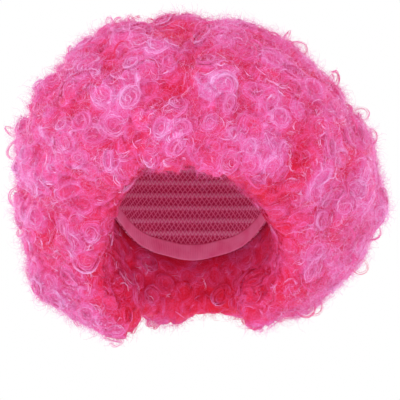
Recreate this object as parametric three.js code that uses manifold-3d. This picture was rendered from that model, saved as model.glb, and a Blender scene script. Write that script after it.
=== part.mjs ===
// Curly wig: a stretch cap with an elastic edge band, under a round mass of ringlets in five sections.
// Millimetres, +Z up, the face side is -Y. The origin is the point inside the cap on top of the head.
import * as THREE from "three";
import { mergeVertices } from "three/addons/utils/BufferGeometryUtils.js";
import Module from "manifold-3d";

const wasm = await Module();
wasm.setup();

// Driving sizes
const FIT_GAP = 0.4; // between pieces that are sewn together on the real wig
const SPLIT_GAP = 0.8; // between two sections of hair
const CAP_WALL = 1.5; // stretch net with its sewn wefts
const BAND_WALL = 1.2; // elastic tape inside the cap's edge
const BAND_WIDTH = 14;
const LOCK_COUNT = 97; // ringlets over the whole ball, before those in the face opening are left out
const LOCK_RADIUS = 26;
const LOCK_SPREAD = 0.12; // share by which a ringlet's radius differs from the next one's
const LOCK_RISE = 17; // how far the ringlets stand out of the mass of hair under them
const LOCK_ROOT = 8; // how deep they are rooted in it
const CROWN_SPLIT_Z = -20; // the crown section is above this height
const FACE_DEPTH = 10; // the face opening reaches back to this distance in front of the ears
const FAR = 500; // past everything, for the blocks that cut the hair
const CLEAN_TOLERANCE = 0.2; // slivers left by the joins and cuts are smaller than this

// Head that the wig is made for. The first row is the widest section, and a dome closes it above.
const HEAD_SECTIONS = [
  { z: -85, halfWidth: 75, front: 90, back: 95 },
  { z: -130, halfWidth: 70, front: 88, back: 86 },
  { z: -170, halfWidth: 57, front: 80, back: 68 },
  { z: -230, halfWidth: 51, front: 72, back: 60 },
];
const DOME_POWER = 2.2;

// Lower edge of the cap, by the angle round the head from the forehead.
const CAP_RIM = [
  { angle: 0, z: -50 },
  { angle: 45, z: -62 },
  { angle: 75, z: -100 },
  { angle: 100, z: -94 },
  { angle: 140, z: -138 },
  { angle: 180, z: -150 },
];

// Outside of the ringlets at each height: how far they reach each way from the origin. The first and last
// rows are single points.
const HAIR_SECTIONS = [
  { z: 63, left: 12, right: -12, front: -9, back: 9 },
  { z: 57, left: 64, right: 40, front: 42, back: 60 },
  { z: 46, left: 90, right: 76, front: 78, back: 96 },
  { z: 26, left: 110, right: 98, front: 106, back: 126 },
  { z: 2, left: 132, right: 124, front: 124, back: 148 },
  { z: -36, left: 151, right: 150, front: 134, back: 165 },
  { z: -67, left: 154, right: 160, front: 132, back: 170 },
  { z: -95, left: 154, right: 167, front: 108, back: 170 },
  { z: -122, left: 152, right: 156, front: 84, back: 164 },
  { z: -150, left: 144, right: 146, front: 64, back: 152 },
  { z: -172, left: 132, right: 124, front: 52, back: 136 },
  { z: -190, left: 112, right: 100, front: 42, back: 116 },
  { z: -205, left: 86, right: 66, front: 26, back: 92 },
  { z: -214, left: 10, right: -10, front: -33, back: 33 },
];
const HAIR_TOP = HAIR_SECTIONS[0].z;
const HAIR_BOTTOM = HAIR_SECTIONS[HAIR_SECTIONS.length - 1].z;
const SECTION_POWER = 2.3; // over 2, so that the sections are a little fuller than ellipses

// Edge of the hair round the face, seen from the front: how far it is from the middle on each side.
const FACE_EDGE = [
  { z: -67, left: 36, right: 22 },
  { z: -81, left: 45, right: 31 },
  { z: -95, left: 54, right: 45 },
  { z: -120, left: 62, right: 65 },
  { z: -142, left: 69, right: 68 },
  { z: -170, left: 61, right: 60 },
  { z: -235, left: 50, right: 48 },
];
const EDGE_CURL_REACH = 6; // how far the edge curls reach in over the mass's own edge

// Ringlets along that edge: their place as a share of the way to it from the middle, and their height.
const EDGE_CURLS = [
  { side: -1, share: 0.35, z: -54 },
  { side: 1, share: 0.35, z: -54 },
  { side: -1, share: 1, z: -76 },
  { side: 1, share: 1, z: -70 },
  { side: -1, share: 1, z: -128 },
  { side: 1, share: 1, z: -124 },
  { side: -1, share: 1, z: -186 },
  { side: 1, share: 1, z: -178 },
];

// Profile of a ringlet above its root, as shares of its radius and of its rise: a coil with a hollow middle.
const LOCK_PROFILE = [
  { radius: 1, rise: 0.5 },
  { radius: 0.62, rise: 1 },
  { radius: 0.3, rise: 0.9 },
  { radius: 0, rise: 0.45 },
];

// Sections of hair below the crown, by the angle round the head from the forehead.
const HAIR_SPLITS = [
  { name: "hair_fringe", from: -52, to: 52 },
  { name: "hair_right", from: 52, to: 126 },
  { name: "hair_back", from: 126, to: 234 },
  { name: "hair_left", from: 234, to: 308 },
];

// Facets
const CAP_RINGS = 5;
const CAP_SIDES = 24;
const NECK_RINGS = 4;
const BALL_DETAIL = 6;
const LOCK_SIDES = 7;

const HAIR_LOOK = { color: 0xf0559f, roughness: 0.55, metalness: 0 };
const CAP_LOOK = { color: 0xb8326e, roughness: 0.85, metalness: 0 };
const BAND_LOOK = { color: 0xd8558f, roughness: 0.8, metalness: 0 };

const GOLDEN_ANGLE = Math.PI * (3 - Math.sqrt(5));
const radians = THREE.MathUtils.degToRad;

// The value of a table's column at a place along its first column, on straight lines through the rows.
function fromTable(rows, along, column, place) {
  const rising = rows[rows.length - 1][along] > rows[0][along] ? 1 : -1;
  const last = rows.length - 2;
  const next = rows.findIndex((row) => rising * (row[along] - place) > 0);
  const i = next < 0 ? last : THREE.MathUtils.clamp(next - 1, 0, last);
  const share = (place - rows[i][along]) / (rows[i + 1][along] - rows[i][along]);
  return THREE.MathUtils.lerp(
    rows[i][column],
    rows[i + 1][column],
    THREE.MathUtils.clamp(share, 0, 1),
  );
}

// The point at an angle on a level section that reaches a different distance each way. A power of 2 gives an
// ellipse, and a higher one a fuller section.
function onSection({ left, right, front, back }, angle, z, power) {
  const bent = (value) => Math.sign(value) * Math.abs(value) ** (2 / power);
  return new THREE.Vector3(
    (right - left) / 2 + ((right + left) / 2) * bent(Math.sin(angle)),
    (back - front) / 2 - ((back + front) / 2) * bent(Math.cos(angle)),
    z,
  );
}

// A point on the head, or on a surface grown out of it.
function headPoint(angle, z, grow) {
  const widest = HEAD_SECTIONS[0].z;
  const rise = THREE.MathUtils.clamp((z - widest) / (grow - widest), 0, 1);
  const share = (1 - rise ** DOME_POWER) ** (1 / DOME_POWER);
  const [halfWidth, front, back] = ["halfWidth", "front", "back"].map(
    (column) => share * (fromTable(HEAD_SECTIONS, "z", column, z) + grow),
  );
  return onSection({ left: halfWidth, right: halfWidth, front, back }, angle, z, 2);
}

function rimHeight(angle) {
  const round = THREE.MathUtils.euclideanModulo(angle, 2 * Math.PI);
  const folded = THREE.MathUtils.radToDeg(Math.min(round, 2 * Math.PI - round));
  return fromTable(CAP_RIM, "angle", "z", folded);
}

// A point on the hair's outer form.
function hairPoint(angle, z) {
  const columns = ["left", "right", "front", "back"];
  const reach = Object.fromEntries(columns.map((name) => [name, fromTable(HAIR_SECTIONS, "z", name, z)]));
  return onSection(reach, angle, z, SECTION_POWER);
}

// The outward normal there, from two short steps along the form.
function hairNormal(angle, z) {
  const step = 3;
  const turn = 0.03;
  const up = hairPoint(angle, z + step).sub(hairPoint(angle, z - step));
  const round = hairPoint(angle + turn, z).sub(hairPoint(angle - turn, z));
  return round.cross(up).normalize();
}

// A point on the mass that the ringlets stand on.
function massPoint(angle, z) {
  return hairPoint(angle, z).addScaledVector(hairNormal(angle, z), -LOCK_RISE);
}

// A closed geometry from its points and faces.
function closedGeometry(points, faces) {
  const geometry = new THREE.BufferGeometry().setFromPoints(points);
  geometry.setIndex(faces.flat());
  return geometry;
}

// Rings of points joined into a skin. A ring of one point is a pole. A loop of rings closes on its first
// one. Four-sided facets are split along their shorter diagonal, so that two skins side by side match.
function skin(rings, isLoop = false) {
  const points = rings.flat();
  const starts = rings.map((_, r) => rings.slice(0, r).flat().length);
  const faces = [];
  const joins = isLoop ? rings.length : rings.length - 1;
  for (let r = 0; r < joins; r += 1) {
    const next = (r + 1) % rings.length;
    const sides = Math.max(rings[r].length, rings[next].length);
    const at = (ring, i) => starts[ring] + (i % rings[ring].length);
    for (let i = 0; i < sides; i += 1) {
      const [a, b, c, d] = [at(r, i), at(next, i), at(next, i + 1), at(r, i + 1)];
      const isAcShorter = points[a].distanceTo(points[c]) < points[b].distanceTo(points[d]);
      if (a === d) faces.push([a, b, c]);
      else if (b === c) faces.push([a, b, d]);
      else if (isAcShorter) faces.push([a, b, c], [a, c, d]);
      else faces.push([a, b, d], [b, c, d]);
    }
  }
  return closedGeometry(points, faces);
}

function ringOf(sides, pointAt) {
  return Array.from({ length: sides }, (_, i) => pointAt((i / sides) * 2 * Math.PI));
}

function solidOf(geometry) {
  const bare = geometry.clone();
  bare.deleteAttribute("normal");
  bare.deleteAttribute("uv");
  const merged = mergeVertices(bare, 1e-4);
  return new wasm.Manifold(
    new wasm.Mesh({
      numProp: 3,
      vertProperties: new Float32Array(merged.attributes.position.array),
      triVerts: new Uint32Array(merged.index.array),
    }),
  );
}

function geometryOf(solid) {
  const { vertProperties, triVerts, numProp } = solid.getMesh();
  const geometry = new THREE.BufferGeometry();
  geometry.setAttribute("position", new THREE.BufferAttribute(vertProperties, numProp));
  geometry.setIndex(new THREE.BufferAttribute(triVerts, 1));
  const shaded = geometry.toNonIndexed();
  shaded.computeVertexNormals();
  return shaded;
}

// Rings of the cap's surface, from its top, which is a pole, to its edge. The last step is a band's width.
function capRings(grow) {
  const rings = [[new THREE.Vector3(0, 0, grow)]];
  for (let r = 1; r <= CAP_RINGS; r += 1) {
    const drop = 1 - Math.cos((r / CAP_RINGS) * (Math.PI / 2));
    rings.push(ringOf(CAP_SIDES, (angle) => capPoint(angle, BAND_WIDTH, drop, grow)));
  }
  rings.push(ringOf(CAP_SIDES, (angle) => capPoint(angle, 0, 1, grow)));
  return rings;
}

// A point on the way down from the top of the cap to a height above its edge.
function capPoint(angle, aboveEdge, drop, grow) {
  return headPoint(angle, grow + (rimHeight(angle) + aboveEdge - grow) * drop, grow);
}

function capGeometry() {
  return skin([...capRings(CAP_WALL), ...capRings(0).reverse()]);
}

// A flat tape inside the edge of the cap, with its lower edge level with the cap's.
function bandGeometry() {
  const corners = [
    { rise: 0, grow: -FIT_GAP },
    { rise: 0, grow: -FIT_GAP - BAND_WALL },
    { rise: BAND_WIDTH, grow: -FIT_GAP - BAND_WALL },
    { rise: BAND_WIDTH, grow: -FIT_GAP },
  ];
  const edge = ({ rise, grow }) => ringOf(CAP_SIDES, (angle) => capPoint(angle, rise, 1, grow));
  return skin(corners.map(edge), true);
}

// The mass of hair as a closed ball: a round ball's heights and angles, moved out to the hair's form.
function hairMass() {
  const ball = new THREE.IcosahedronGeometry(1, BALL_DETAIL);
  const places = ball.attributes.position;
  for (let i = 0; i < places.count; i += 1) {
    const angle = Math.atan2(places.getX(i), -places.getY(i));
    const z = THREE.MathUtils.lerp(HAIR_BOTTOM, HAIR_TOP, (places.getZ(i) + 1) / 2);
    places.setXYZ(i, ...massPoint(angle, z));
  }
  return solidOf(ball);
}

// The room for the head and neck, just clear of the cap and with the same facets.
function headRoom() {
  const grow = CAP_WALL + FIT_GAP;
  const lowest = HEAD_SECTIONS[HEAD_SECTIONS.length - 1].z;
  const rings = capRings(grow);
  for (let r = 1; r <= NECK_RINGS; r += 1) {
    rings.push(
      ringOf(CAP_SIDES, (angle) => {
        const z = THREE.MathUtils.lerp(rimHeight(angle), lowest, r / NECK_RINGS);
        return headPoint(angle, z, grow);
      }),
    );
  }
  return solidOf(skin([...rings, [new THREE.Vector3(0, 0, lowest)]]));
}

// The face opening as a prism along Y, widened by an amount.
function faceOpening(widen) {
  const outline = new THREE.Shape();
  const top = FACE_EDGE[0].z + widen;
  outline.moveTo(-FACE_EDGE[0].left, top);
  for (const { z, left } of FACE_EDGE.slice(1)) outline.lineTo(-left - widen, z);
  for (const { z, right } of FACE_EDGE.slice(1).reverse()) outline.lineTo(right + widen, z);
  outline.lineTo(FACE_EDGE[0].right, top);
  const prism = new THREE.ExtrudeGeometry(outline, { depth: FAR, bevelEnabled: false });
  prism.rotateX(Math.PI / 2);
  prism.translate(0, -FACE_DEPTH, 0);
  return solidOf(prism);
}

// A ringlet that stands on the mass, turned about its own axis by its number.
function ringlet(angle, z, index) {
  const normal = hairNormal(angle, z);
  const radius = LOCK_RADIUS * (1 + LOCK_SPREAD * Math.sin(index * GOLDEN_ANGLE));
  const profile = [
    new THREE.Vector2(0, -LOCK_ROOT),
    ...LOCK_PROFILE.map((row) => new THREE.Vector2(row.radius * radius, row.rise * LOCK_RISE)),
  ];
  const lock = new THREE.LatheGeometry(profile, LOCK_SIDES, index);
  lock.applyQuaternion(new THREE.Quaternion().setFromUnitVectors(new THREE.Vector3(0, 1, 0), normal));
  lock.translate(...massPoint(angle, z));
  return solidOf(lock);
}

// Ringlets spread evenly over the ball by the golden angle, apart from those that would cover the face.
function spreadRinglets(opening) {
  const made = [];
  for (let i = 0; i < LOCK_COUNT; i += 1) {
    const z = THREE.MathUtils.lerp(HAIR_TOP, HAIR_BOTTOM, (i + 0.5) / LOCK_COUNT);
    const lock = ringlet(i * GOLDEN_ANGLE, z, i);
    if (lock.intersect(opening).isEmpty()) made.push(lock);
  }
  return made;
}

// Ringlets along the edge of the hair round the face.
function edgeRinglets() {
  return EDGE_CURLS.map(({ side, share, z }, i) => {
    const column = side < 0 ? "left" : "right";
    const across = share * (fromTable(FACE_EDGE, "z", column, z) + LOCK_RADIUS);
    const reach = fromTable(HAIR_SECTIONS, "z", column, z);
    return ringlet(side * Math.asin((across / reach) ** (SECTION_POWER / 2)), z, i);
  });
}

// All the hair as one solid, with room for the head and open over the face.
function wholeHair() {
  const mass = hairMass().subtract(faceOpening(EDGE_CURL_REACH));
  const curls = [...spreadRinglets(faceOpening(0)), ...edgeRinglets()];
  return curls.reduce((hair, curl) => hair.add(curl), mass).subtract(headRoom());
}

// A wedge of space round the head's axis, below the crown, drawn in by half a gap on each side.
function wedge(from, to) {
  const middle = radians((from + to) / 2);
  const half = radians((to - from) / 2);
  const out = (angle, distance) =>
    new THREE.Vector2(Math.sin(angle), -Math.cos(angle)).multiplyScalar(distance);
  const tip = out(middle, SPLIT_GAP / 2 / Math.sin(half));
  const corner = (angle) => out(angle, FAR).add(tip);
  const shape = new THREE.Shape([tip, corner(middle - half), corner(middle + half)]);
  const prism = new THREE.ExtrudeGeometry(shape, { depth: FAR, bevelEnabled: false });
  prism.translate(0, 0, CROWN_SPLIT_Z - SPLIT_GAP / 2 - FAR);
  return solidOf(prism);
}

function aboveCrownSplit() {
  const block = new THREE.BoxGeometry(2 * FAR, 2 * FAR, FAR);
  block.translate(0, 0, CROWN_SPLIT_Z + SPLIT_GAP / 2 + FAR / 2);
  return solidOf(block);
}

// One section of the hair, without the slivers of its cuts and the crumbs of ringlets left loose.
function cutFrom(hair, space) {
  const bodies = hair.intersect(space).simplify(CLEAN_TOLERANCE).decompose();
  return bodies.reduce((largest, body) => (body.volume() > largest.volume() ? body : largest));
}

function named(name, geometry, look) {
  const mesh = new THREE.Mesh(geometry, new THREE.MeshStandardMaterial(look));
  mesh.name = name;
  return mesh;
}

const wig = new THREE.Group();
wig.name = "curly_wig";
wig.add(named("cap", capGeometry(), CAP_LOOK));
wig.add(named("edge_band", bandGeometry(), BAND_LOOK));

const hair = wholeHair();
wig.add(named("hair_crown", geometryOf(cutFrom(hair, aboveCrownSplit())), HAIR_LOOK));
for (const { name, from, to } of HAIR_SPLITS) {
  wig.add(named(name, geometryOf(cutFrom(hair, wedge(from, to))), HAIR_LOOK));
}

export default wig;
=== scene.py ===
"""A pink curly wig: ringlets, curls and flyaway hair over a net cap with an elastic edge band."""
import math
from collections import namedtuple

import bpy
import numpy as np
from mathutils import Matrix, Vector
from mathutils.bvhtree import BVHTree


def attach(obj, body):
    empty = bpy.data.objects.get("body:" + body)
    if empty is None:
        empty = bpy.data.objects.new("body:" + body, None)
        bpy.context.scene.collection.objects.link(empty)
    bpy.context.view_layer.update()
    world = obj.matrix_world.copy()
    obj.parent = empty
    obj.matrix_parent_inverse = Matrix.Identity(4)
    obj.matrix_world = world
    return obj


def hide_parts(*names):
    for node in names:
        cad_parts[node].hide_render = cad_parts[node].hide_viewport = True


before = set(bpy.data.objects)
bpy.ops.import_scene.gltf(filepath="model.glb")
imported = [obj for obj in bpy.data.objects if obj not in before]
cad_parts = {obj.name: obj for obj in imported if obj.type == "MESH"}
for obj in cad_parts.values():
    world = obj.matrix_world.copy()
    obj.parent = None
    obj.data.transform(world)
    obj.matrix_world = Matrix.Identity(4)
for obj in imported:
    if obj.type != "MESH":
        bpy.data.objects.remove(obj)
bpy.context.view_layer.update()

# The photograph's frame, in metres: its width at the wig, and the point of the wig in its middle
FRAME_WIDTH = 0.340
FRAME_MIDDLE = (0.0068, 0.010, -0.0944)
CAMERA_DISTANCE = 1.6
SENSOR_WIDTH = 36.0

RNG = np.random.default_rng(7)
TINY = 1e-12  # keeps divisors from zero
HAIR_NODES = ("hair_crown", "hair_fringe", "hair_left", "hair_right", "hair_back")
BALL_MIDDLE = np.array([0.007, 0.020, -0.075])
NEIGHBOUR_GAP = 0.0016  # a place with another piece this near in front of it is hidden
LEVEL_RISE = 0.9  # a normal that rises less isn't upright
OUTSIDE_FACING = 0.2  # least cosine between straight out and a normal of the outside
WIG_REACH = 0.15  # to the sides
WIG_TOP = 0.06
RADIAL_SHARE = 0.9  # how far the hair's own direction turns from the facets to straight out

# Locks that hang lowest: rounded bunches that the hair covers like the rest
Lock = namedtuple("Lock", "section centre radii")
LOW_LOCKS = (
    Lock("hair_left", (-0.066, 0.004, -0.186), (0.024, 0.022, 0.028)),
    Lock("hair_right", (0.057, 0.004, -0.180), (0.020, 0.019, 0.026)),
    Lock("hair_left", (-0.110, 0.012, -0.158), (0.028, 0.032, 0.030)),
)

# The matted mass that the hair lies on
CORE_CLOSING = 0.004  # half the width of the gaps between locks that it fills
CORE_GROWTH = 0.0015  # past the frame's faceted locks, whose corners are rounded off
CORE_CLEARANCE = 0.004  # from the cap's inner face, wall and all
CORE_VOXEL = 0.0034
CORE_SMOOTHING = (12, 4)  # rounds before and after it is sunk
SMOOTHING_STEP = 0.6
BARE_GAP = 0.003  # nearer to the cap than this there is no room for hair
ROOM_EASE = 0.01  # and this much further out there is full room
CORE_TONE = 0.36
CLUSTERS_KEPT = 0.85  # share of the clusters' rise past the rounded outline
VALLEYS_KEPT = 0.4
FACING_EASE = 0.4  # cosines from the outside to the rest
RING_RELIEF = 0.0036  # rise of the curls that the mass is matted into
RING_SLOPE = 0.0016  # rise of a leaning curl's upper side and fall of its lower side
RELIEF_LEVEL = 0.7  # a ridge of this share stays where the mass was
RIDGE_PLACE = 0.8  # shares of a curl's radius
RIDGE_WIDTH = 0.35
# Painted light and shade: the curls' ridges are painted paler and the dips between them darker
RIDGE_PAINTED_SHADE = 0.26
RIDGE_SHADE_LEVEL = 0.6  # a ridge of this share keeps its tone; higher ones are painted paler and lower ones darker
KNOT_RELIEF = 0.5  # of a curl's middle, as a share of its ridge
KNOT_WIDTH = 0.3
# Painted highlight: a pale crescent on each curl's ridge, at one side
CRESCENT_HIGHLIGHT = 0.35
FUZZ_FLATTENS = 0.6  # share of the relief that is lost where the hair is frizziest
RING_LINE = 0.0016  # pitch of the hairs that run round them
RING_WANDER = 0.006

# Painted light and shade: clusters of curls painted paler, and the valleys between them darker, where shade
# falls
CLUSTER_ANGLE = 0.12  # radians, seen from the ball's middle
CLUSTER_RISE = 0.007
CLUSTER_PAINTED_LIGHT = 0.22
SIDE_LIGHT_HEIGHTS = (-0.205, -0.150, -0.090, 0.020)
SIDE_PAINTED_LIGHT = (-0.02, 0.08, 0.09, 0.0)  # painted light: the sides are painted paler than the top and the tips, against the shade on them
TONE_BLUR = 0.008

# Strands of each kind of curl. Shift and lengths are shares of its length, and widths of a strand's width
Strands = namedtuple("Strands", "count points shift lengths tone spread widths taper")
STRAND_WIDTH = 0.00032
TIP_WIDTH = 0.3  # share of a strand's width
STRAND_TWIST = 0.6  # spreads in radians
STRAND_ROLL = 0.4
BUNDLE_TWIST = 1.5
STRAND_STEP = 0.007  # longest step of a strand that lies well
STEP_RATIO = 1.8  # and its longest share of the mean step
EDGE_SHADING = 0.05  # painted light and shade across a strand, as on a round lock: how far its two edges differ from its middle

# Ringlets, each a bundle of strands that run round on the mass
RINGLET_TRIES = 30000
RINGLET_SPACING = 0.0150
RINGLET_RADIUS = (0.0064, 0.0136)
RINGLET_TURNS = (0.35, 1.1)
RINGLET_BAND = (0.5, 1.1)  # shares of the radius over which the strands are spread
RINGLET_CLOSE = (0.05, 0.5)  # share of its radius by which a strand winds inward
RINGLET_LEAN = (0, 40, 74)  # degrees: least, most common and most
RINGLET_LIFT = 0.0016
RINGLET_TONE_SPREAD = 0.10
RINGLET_STRANDS = Strands(
    count=14, points=13, shift=0.15, lengths=(0.7, 1.1), tone=0.42, spread=0.08, widths=(0.6, 1.25), taper=6
)
STRAND_LIFT = (0.0002, 0.0012)
STRAND_DRIFT = 0.0008
STRAND_SWAY = 0.0006
SWAY_WAVES = (4, 9)  # radians along a strand
GLINT_TONE = 0.5  # painted highlight of the palest crescents
GLINT_POWER = 1.5
GLINT_MIDDLE = 1.2
GLINT_SIDES = (0.6, 1.8)  # painted highlights, weaker at the right and stronger at the left, against the middle
GLINT_WIDTH = 0.7  # radians round a ringlet
UNTIDY = 0.6  # of ringlets without frizz
LOOSE_SHARE = 0.2
LOOSE_LIFT = 0.0035
LOOSE_UNTIDY = 2.5  # times as untidy as the others

# The right side and the top are frizzier
FUZZ_RIGHT = 0.5
FUZZ_TOP = 0.3

# Coils: ringlets whose strands keep together in a round bundle
COIL_SHARE = 0.25
COIL_FUZZ = 1.3  # coils get rarer as the frizz comes near this
COIL_STRANDS = Strands(
    count=24, points=13, shift=0.1, lengths=(0.8, 1.1), tone=0.56, spread=0.07, widths=(0.7, 1.3), taper=4
)
COIL_THICKNESS = (0.0014, 0.0022)  # radius of the bundle
COIL_FILL = (0.3, 1.1)  # squared shares of that radius at which the strands lie
COIL_PLACE = 0.95  # of the ringlet's radius
COIL_RISE = 0.6  # of its middle above the surface, as a share of its radius
COIL_FLOOR = 0.0003
COIL_SHADE = 0.45  # painted shade: how much darker the underside and the inner side are painted
COIL_TOP_LIGHT = 0.85  # how much of that the upper side escapes
COIL_OUTER_LIGHT = 0.5

# Loops that stand out of the mass, and two that hang loose
Loops = namedtuple("Loops", "centre across up radius first_angle last_angle section tone")
LOOP_COUNT = 170
LOOP_RADIUS = (0.0045, 0.0085)
LOOP_RISE = 0.3  # of its middle above the surface, as a share of its radius
LOOP_TILT = 0.35
LOOP_STARTS = (-1.0, 0.2)  # radians round the loop
LOOP_ENDS = (2.6, 4.2)
LOOP_STRANDS = Strands(
    count=9, points=11, shift=0.08, lengths=(0.85, 1.05), tone=0.40, spread=0.1, widths=(0.7, 1.2), taper=4
)
LOOP_THICKNESS = 0.0013
LOOP_FILL = (0.05, 1.2)
HANGING_LOOPS = Loops(
    centre=np.array([(0.143, 0.010, -0.151), (0.053, -0.004, -0.197)]),
    across=np.array([(1.0, 0.0, 0.0)] * 2),
    up=np.array([(0.0, 0.3, 0.95)] * 2),
    radius=np.array([0.0062, 0.0066]),
    first_angle=np.array([1.2] * 2),
    last_angle=np.array([1.2 + math.tau] * 2),
    section=np.array([HAIR_NODES.index("hair_right")] * 2),
    tone=np.zeros(2),
)

# Short curls that lie between and across the ringlets
CURL_COUNT = 8600
CURL_STRANDS = Strands(
    count=5, points=5, shift=0.2, lengths=(0.7, 1.1), tone=0.36, spread=0.08, widths=(0.5, 1.2), taper=None
)
CURL_WIDTH = 0.00040
CURL_TIP_WIDTH = 0.25
CURL_SPREADS = (0.0009, 0.0018)  # of a curl's strands, each way
CURL_LIFT = (0.0003, 0.0028)
CURL_BEND = (0.003, 0.009)
CURL_ANGLE = (0.8, 2.0)
CURL_STEP = 0.008
CURL_STRAND_LIFT = 0.0006
CURL_TONE_SPREAD = 0.14
LIFT_PAINTED_LIGHT = 0.2  # painted light: how much paler those are painted that lie highest, over the shaded ones deeper in
CURL_GLINT_SHARE = 0.13  # of them, painted pale as a highlight where they catch the light
CURL_GLINT_TONE = 0.46
CURL_GLINT_REACH = 0.1
CURL_GLINT_SIDES = (0.2, 2)  # painted highlights, weaker at the right and stronger at the left, against the middle

# Flyaway hair
FLYAWAY_COUNT = 62000
FLYAWAY_POINTS = 4
FLYAWAY_WIDTH = 0.00022
FLYAWAY_WIDTHS = (0.7, 1.2)
FLYAWAY_TAPER = 0.6
FLYAWAY_LENGTH = (0.004, 0.022)
FLYAWAY_BEND = (0.004, 0.010)
FLYAWAY_LEAN = (10, 85)  # degrees from straight out
FLYAWAY_TONE = 0.48
FLYAWAY_TONE_SPREAD = 0.12
FLYAWAY_TIP_TONE = 0.25  # how much paler the tips are

# The head that the cap is made for: half widths and reaches at heights, with a dome above the first
HEAD_HEIGHTS = np.array([-0.085, -0.130, -0.170, -0.230])
HEAD_HALF_WIDTHS = (0.075, 0.070, 0.057, 0.051)
HEAD_FRONTS = (0.090, 0.088, 0.080, 0.072)
HEAD_BACKS = (0.095, 0.086, 0.068, 0.060)
DOME_POWER = 2.2
HEAD_MIDDLE = np.array([0.0, 0.0, HEAD_HEIGHTS[0]])

# Lower edge of the cap, by the angle in degrees round the head from the forehead
RIM_ANGLES = (0, 45, 75, 100, 140, 180)
RIM_HEIGHTS = (-0.050, -0.062, -0.100, -0.094, -0.138, -0.150)
RIM_EASE = 12  # degrees each way over which the edge's corners are rounded

CAP_WALL = 0.0013
CAP_SIDES = 120
CAP_OUTER_RINGS = 24
CAP_INNER_RINGS = 110
NET_AROUND = 108
NET_DOWN = 45

# Rows of hair sewn inside the cap, which stand out of the net
WEFT_TOP = -0.012
WEFT_PITCH = 0.0112
WEFT_SHARE = 0.42  # height of a row as a share of the pitch
WEFT_RISE = 0.0009
WEFT_FLATNESS = 1.6  # more makes a row's section squarer
WEFT_EASE = 0.003  # above the band
STITCHES_AROUND = 130

# Elastic band inside the cap's edge
BAND_WIDTH = 0.014
BAND_GAP = 0.0004
BAND_THICKNESS = 0.0012
BAND_SECTION_POINTS = 14
BAND_CORNERS = (0.6, 0.4)  # powers across and through the section, 1 for round
BAND_RIBS = 190
RIB_STEPS = 3
RIB_RISE = 0.00018

# Materials
HAIR_SPECULAR = 0.2
CLOTH_SPECULAR = 0.3
HAIR_ROUGHNESS = (0.6, 0.4)  # of the darkest and the palest hair
CAP_ROUGHNESS = (0.80, 0.60)  # of the net's openings and its threads
BAND_ROUGHNESS = (0.75, 0.55)  # of the knit's furrows and its ridges
HAIR_STOPS = (
    (0.0, (0.78, 0.008, 0.050)),
    (0.3, (0.81, 0.050, 0.205)),
    (0.6, (0.83, 0.135, 0.455)),
    (1.0, (0.90, 0.46, 0.82)),
)
NET_STOPS = ((0.0, (0.62, 0.03, 0.14)), (1.0, (0.90, 0.22, 0.48)))
WEFT_STOPS = ((0.3, (0.76, 0.05, 0.22)), (0.7, (0.92, 0.26, 0.56)))
STITCH_COLOUR = (0.94, 0.52, 0.74, 1.0)
BAND_STOPS = ((0.3, (0.82, 0.08, 0.28)), (0.95, (0.93, 0.28, 0.54)))
FLOOR_STOPS = ((0.3, (0.90, 0.90, 0.90)), (0.7, (0.94, 0.94, 0.94)))
KNIT_PITCH = 0.0009

# Floor and lights
FLOOR_HEIGHT = -0.62
FLOOR_RADIUS = 1.2
FLOOR_SIDES = 64
LIGHTS = (  # name, place, size and power
    ("key", (-0.5, -1.3, 0.4), 0.5, 3),
    ("fill_right", (1.1, -0.8, 0.0), 0.8, 2),
    ("fill_left", (-1.1, -0.8, 0.0), 0.8, 2),
    ("rear_left", (-1.1, 0.9, 0.1), 0.8, 5),
    ("rear_right", (1.1, 0.9, 0.1), 0.8, 5),
)

COLUMN = (slice(None), None, None)  # spreads values of curls over their strands and the strands' points
Places = namedtuple("Places", "points normals section")
Ringlets = namedtuple(
    "Ringlets", "point first second lean radius close turns phase fuzz tone section side glint"
)
Surface = namedtuple("Surface", "tree corners normals room")


def unit(vectors):
    return vectors / np.maximum(np.linalg.norm(vectors, axis=-1, keepdims=True), TINY)


def in_plane(middle, first, second, across, along):
    """Points at distances from each middle along two directions."""
    return middle + first * across[..., None] + second * along[..., None]


def taken(rows, mask):
    """The same named columns with only some of their rows."""
    return type(rows)(*(column[mask] for column in rows))


# The frame's solids, and places spread over what shows of the hair
def values_of(items, name, size, kind=float):
    """A property of a mesh's vertices, edges or triangles, as rows of an array."""
    values = np.empty(len(items) * size, dtype=kind)
    items.foreach_get(name, values)
    return values.reshape(-1, size)


def vertex_values(mesh, name):
    return values_of(mesh.vertices, name, 3)


def triangle_corners(mesh):
    mesh.calc_loop_triangles()
    return values_of(mesh.loop_triangles, "vertices", 3, np.int32)


def node_triangles(name):
    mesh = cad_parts[name].data
    return vertex_values(mesh, "co")[triangle_corners(mesh)]


def lock_triangles(lock):
    """A round bunch of hair as the triangles of an oval ball."""
    sides = 16
    rings = 10
    turn = np.arange(sides + 1) * math.tau / sides
    rise = np.linspace(-math.pi / 2, math.pi / 2, rings + 1)[:, None]
    ball = np.stack(
        np.broadcast_arrays(np.cos(rise) * np.cos(turn), np.cos(rise) * np.sin(turn), np.sin(rise)), axis=-1
    )
    ball = np.asarray(lock.centre) + ball * lock.radii
    a, b, c, d = ball[:-1, :-1], ball[:-1, 1:], ball[1:, 1:], ball[1:, :-1]
    lower = np.stack((a, b, c), axis=2)[1:]
    upper = np.stack((a, c, d), axis=2)[:-1]
    return np.concatenate((lower.reshape(-1, 3, 3), upper.reshape(-1, 3, 3)))


def tree_of(triangles):
    points = [Vector(point) for point in triangles.reshape(-1, 3)]
    return BVHTree.FromPolygons(points, np.arange(len(points)).reshape(-1, 3).tolist())


def is_open(points, normals, tree):
    """Which points have nothing close in front of them."""
    clear = 1e-5
    hits = [
        tree.ray_cast(Vector(point + clear * normal), Vector(normal), NEIGHBOUR_GAP)[0]
        for point, normal in zip(points, normals)
    ]
    return np.array([hit is None for hit in hits])


def outside(places):
    """Which places face away from the middle of the wig."""
    return np.sum(unit(places.points - BALL_MIDDLE) * places.normals, axis=1) > OUTSIDE_FACING


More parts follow.
